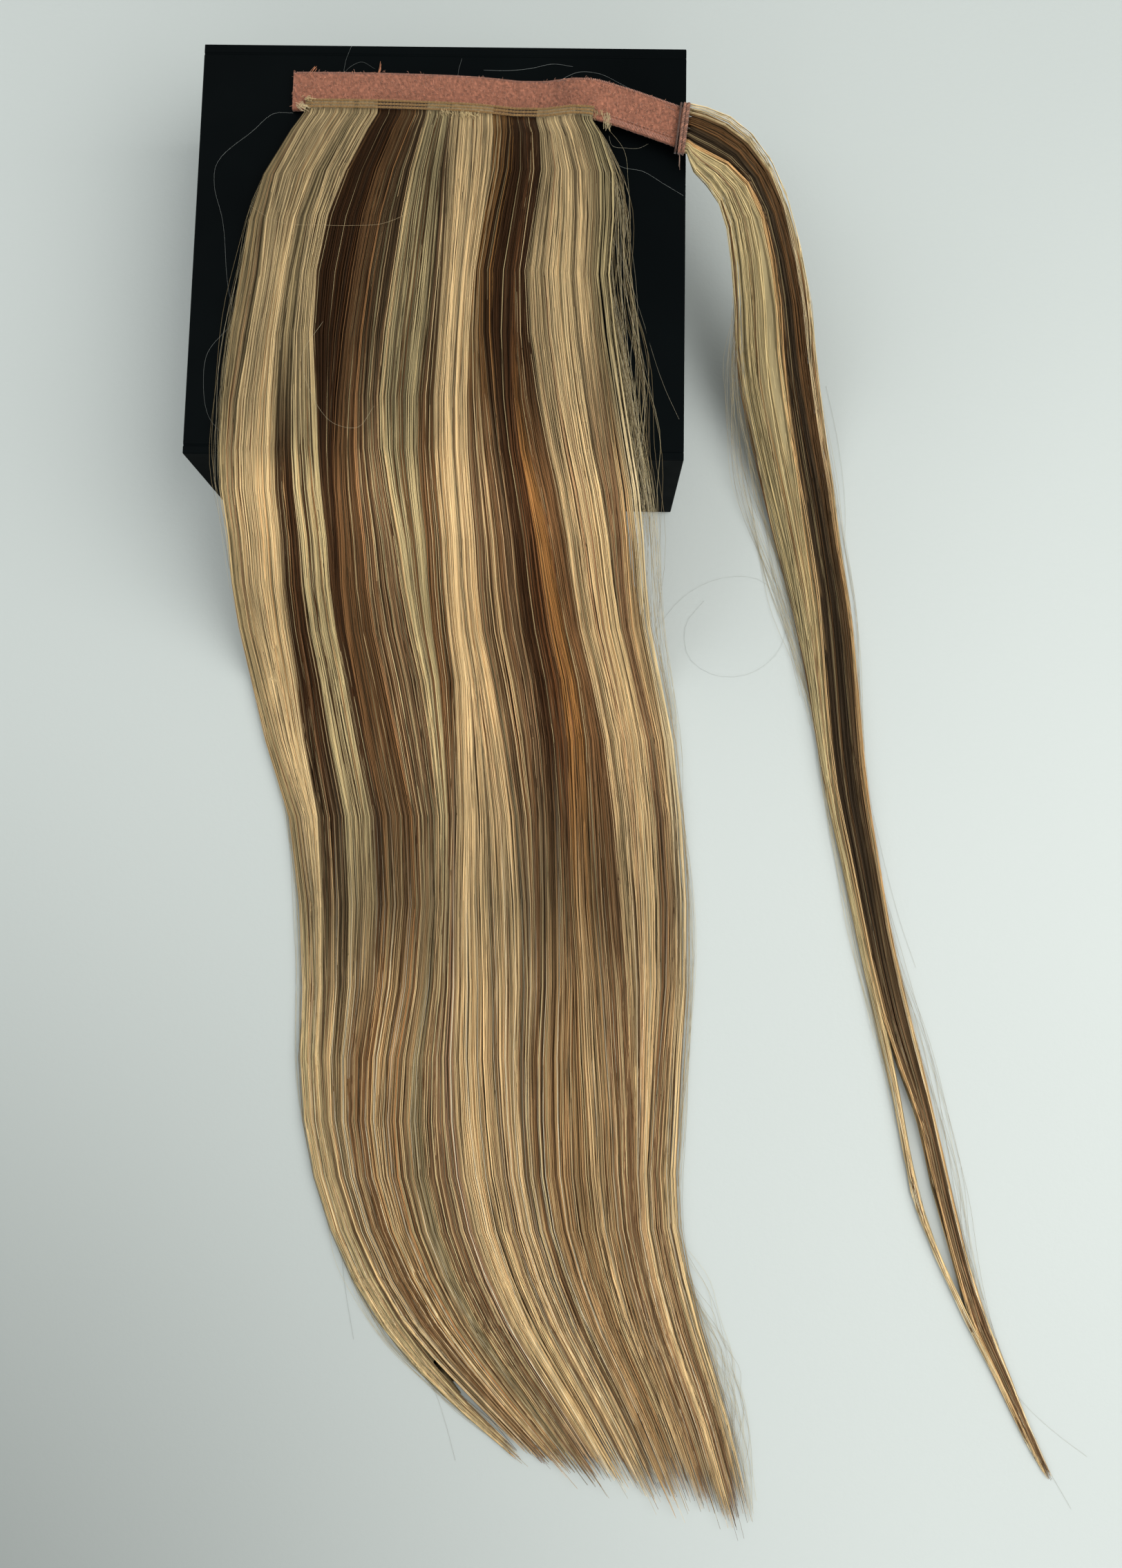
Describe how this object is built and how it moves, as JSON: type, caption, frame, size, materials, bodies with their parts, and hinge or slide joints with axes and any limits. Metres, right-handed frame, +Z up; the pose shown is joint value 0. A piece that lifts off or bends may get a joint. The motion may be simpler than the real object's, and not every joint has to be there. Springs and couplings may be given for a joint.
{
  "type": "ponytail hairpiece on a closed box",
  "caption": "Wrap-round ponytail hairpiece: sewn hair and a wrap lock on a hook-and-loop band, lying over the closed box that carries it.",
  "frame": {"origin": "middle of the box's base, on the surface that it stands on", "axes": "+Z up, +X along the fastening band from its raw end to its free end, hair running towards -Y"},
  "size_m": [0.3524, 0.5909, 0.0689],
  "materials": {
    "box_paper": "matte black paper over board",
    "box_inside": "matte black paper over board",
    "loop_tape": "fuzzy dusty pink loop tape",
    "hook_tape": "woven hook tape",
    "sewn_track": "golden brown stitched weft",
    "blonde_hair": "straight hair streaked blonde and brown",
    "thread": "wound thread",
    "brown_hair": "straight hair, ash brown with a blonde edge"
  },
  "bodies": {
    "root": {"display_box_tray": "box_inside", "display_box_lid": "box_paper", "fastening_band": "loop_tape", "hook_patch": "hook_tape", "hair_weft": "sewn_track", "hair_curtain": "blonde_hair", "wrap_binding": "thread", "wrap_lock": "brown_hair"}
  },
  "joints": []
}
